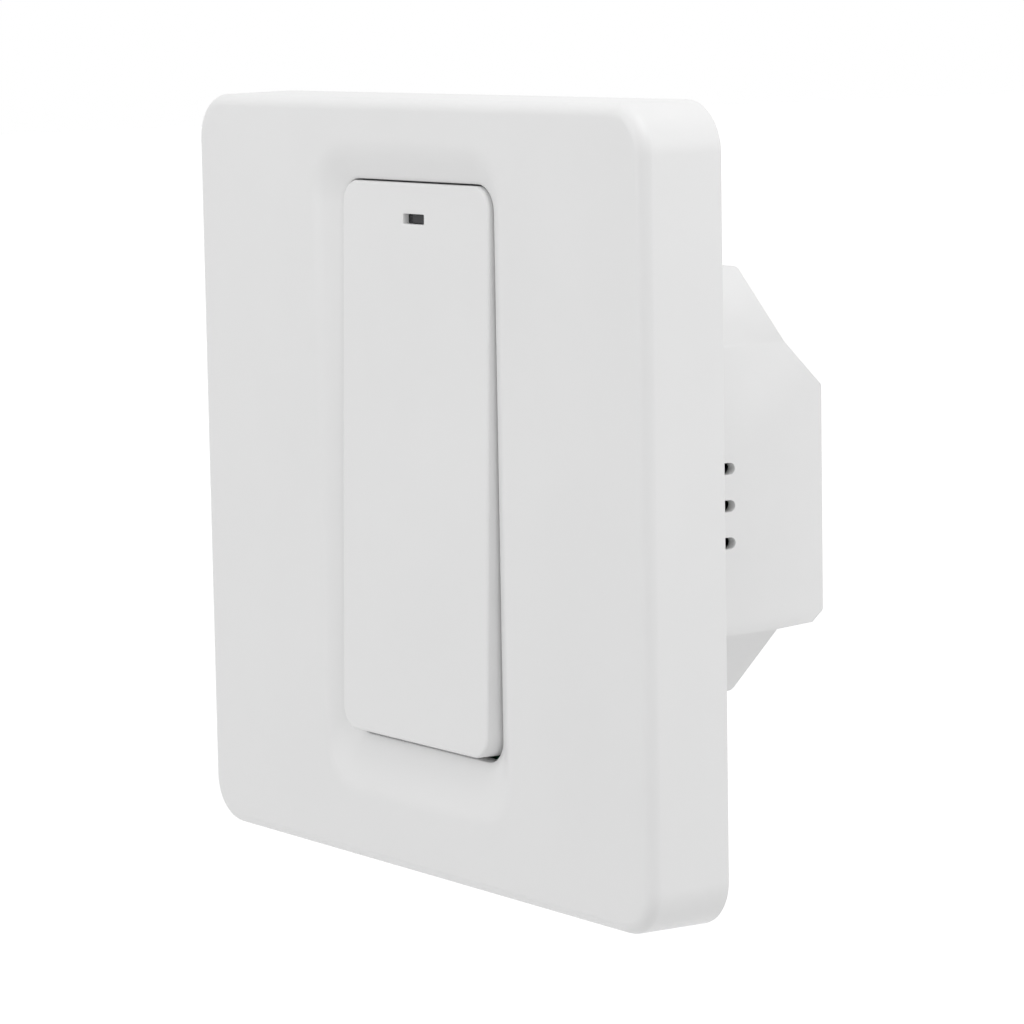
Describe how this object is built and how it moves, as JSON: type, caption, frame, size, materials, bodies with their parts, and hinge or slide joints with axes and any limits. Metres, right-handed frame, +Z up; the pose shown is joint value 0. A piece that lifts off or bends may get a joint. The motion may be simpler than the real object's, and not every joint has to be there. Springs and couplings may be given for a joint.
{
  "type": "smart light switch",
  "caption": "Square flush-mounted smart wall switch with one tall rocker in a soft recess, a smoked indicator slot, and an eight-sided vented housing with screw terminals behind it.",
  "frame": {"origin": "midway between the two fixing screws, in the plane of the wall and of the cover's back", "axes": "+X to the viewer's right, +Y into the wall, +Z up, for someone facing the switch"},
  "size_m": [0.086, 0.0389, 0.086],
  "materials": {
    "cover_white": "satin",
    "housing_white": "fine grain",
    "smoked_lens": "gloss",
    "board_green": "solder mask",
    "board_blue": "solder mask",
    "zinc_steel": "zinc plated",
    "tin_plate": "satin",
    "gold_pins": "plated",
    "tinned_brass": "satin",
    "copper_wire": "enamelled",
    "winding_tape": "film tape",
    "ferrite": "sintered",
    "black_plastic": "moulded",
    "relay_case": "moulded",
    "capacitor_can": "sleeved",
    "film_case": "moulded",
    "varistor_coat": "dipped",
    "resistor_coat": "lacquered",
    "terminal_plastic": "moulded",
    "light_resin": "clear resin in a white case",
    "button_plastic": "moulded"
  },
  "bodies": {
    "root": {"mounting_frame": "housing_white", "rear_housing": "housing_white", "housing_screws": "zinc_steel", "control_board": "board_green", "control_board_screws": "zinc_steel", "tact_switch_body": "black_plastic", "status_led": "light_resin", "radio_module_board": "board_blue", "radio_shield_can": "tin_plate", "link_header_pins": "gold_pins", "link_header_spacers": "black_plastic", "power_board": "board_green", "relay_case": "relay_case", "relay_pins": "tin_plate", "transformer_core": "ferrite", "transformer_bobbin": "black_plastic", "transformer_winding": "winding_tape", "bulk_capacitors": "capacitor_can", "safety_capacitor": "film_case", "varistor": "varistor_coat", "fuse_resistor": "resistor_coat", "line_choke_core": "ferrite", "line_choke_winding": "copper_wire", "bridge_rectifier": "black_plastic", "terminal_block": "terminal_plastic", "terminal_bars": "tinned_brass"},
    "cover": {"face_plate": "cover_white"},
    "rocker": {"rocker_button": "cover_white", "rocker_lens": "smoked_lens"},
    "plunger": {"tact_switch_plunger": "button_plastic"},
    "screw_1": {"terminal_screw_1": "zinc_steel"},
    "screw_2": {"terminal_screw_2": "zinc_steel"},
    "screw_3": {"terminal_screw_3": "zinc_steel"},
    "clamp_1": {"terminal_clamp_1": "tinned_brass"},
    "clamp_2": {"terminal_clamp_2": "tinned_brass"},
    "clamp_3": {"terminal_clamp_3": "tinned_brass"}
  },
  "joints": [
    {"name": "cover_release", "type": "slide", "parent": "root", "child": "cover", "axis": [0, -1, 0], "range_m": [0, 0.02]},
    {"name": "rocker_press", "type": "hinge", "parent": "cover", "child": "rocker", "pos_m": [0, -0.005, 0.0306], "axis": [1, 0, 0], "range_deg": [0, 1.43], "stiffness_Nm_per_rad": 0.5, "springref_deg": -5.73},
    {"name": "plunger_stroke", "type": "slide", "parent": "root", "child": "plunger", "axis": [0, 1, 0], "range_m": [0, 0.00085]},
    {"name": "terminal_turn_1", "type": "hinge", "parent": "root", "child": "screw_1", "pos_m": [-0.0075, 0.0253, 0.0056], "axis": [0, -1, 0], "range_deg": [0, 1440]},
    {"name": "terminal_turn_2", "type": "hinge", "parent": "root", "child": "screw_2", "pos_m": [0, 0.0253, 0.0056], "axis": [0, -1, 0], "range_deg": [0, 1440]},
    {"name": "terminal_turn_3", "type": "hinge", "parent": "root", "child": "screw_3", "pos_m": [0.0075, 0.0253, 0.0056], "axis": [0, -1, 0], "range_deg": [0, 1440]},
    {"name": "clamp_travel_1", "type": "slide", "parent": "root", "child": "clamp_1", "axis": [0, 1, 0], "range_m": [0, 0.002]},
    {"name": "clamp_travel_2", "type": "slide", "parent": "root", "child": "clamp_2", "axis": [0, 1, 0], "range_m": [0, 0.002]},
    {"name": "clamp_travel_3", "type": "slide", "parent": "root", "child": "clamp_3", "axis": [0, 1, 0], "range_m": [0, 0.002]}
  ],
  "couplings": [
    {"joint": "plunger_stroke", "follows": "rocker_press", "m_per_rad": 0.0336},
    {"joint": "terminal_turn_1", "follows": "clamp_travel_1", "rad_per_m": 12566},
    {"joint": "terminal_turn_2", "follows": "clamp_travel_2", "rad_per_m": 12566},
    {"joint": "terminal_turn_3", "follows": "clamp_travel_3", "rad_per_m": 12566}
  ]
}
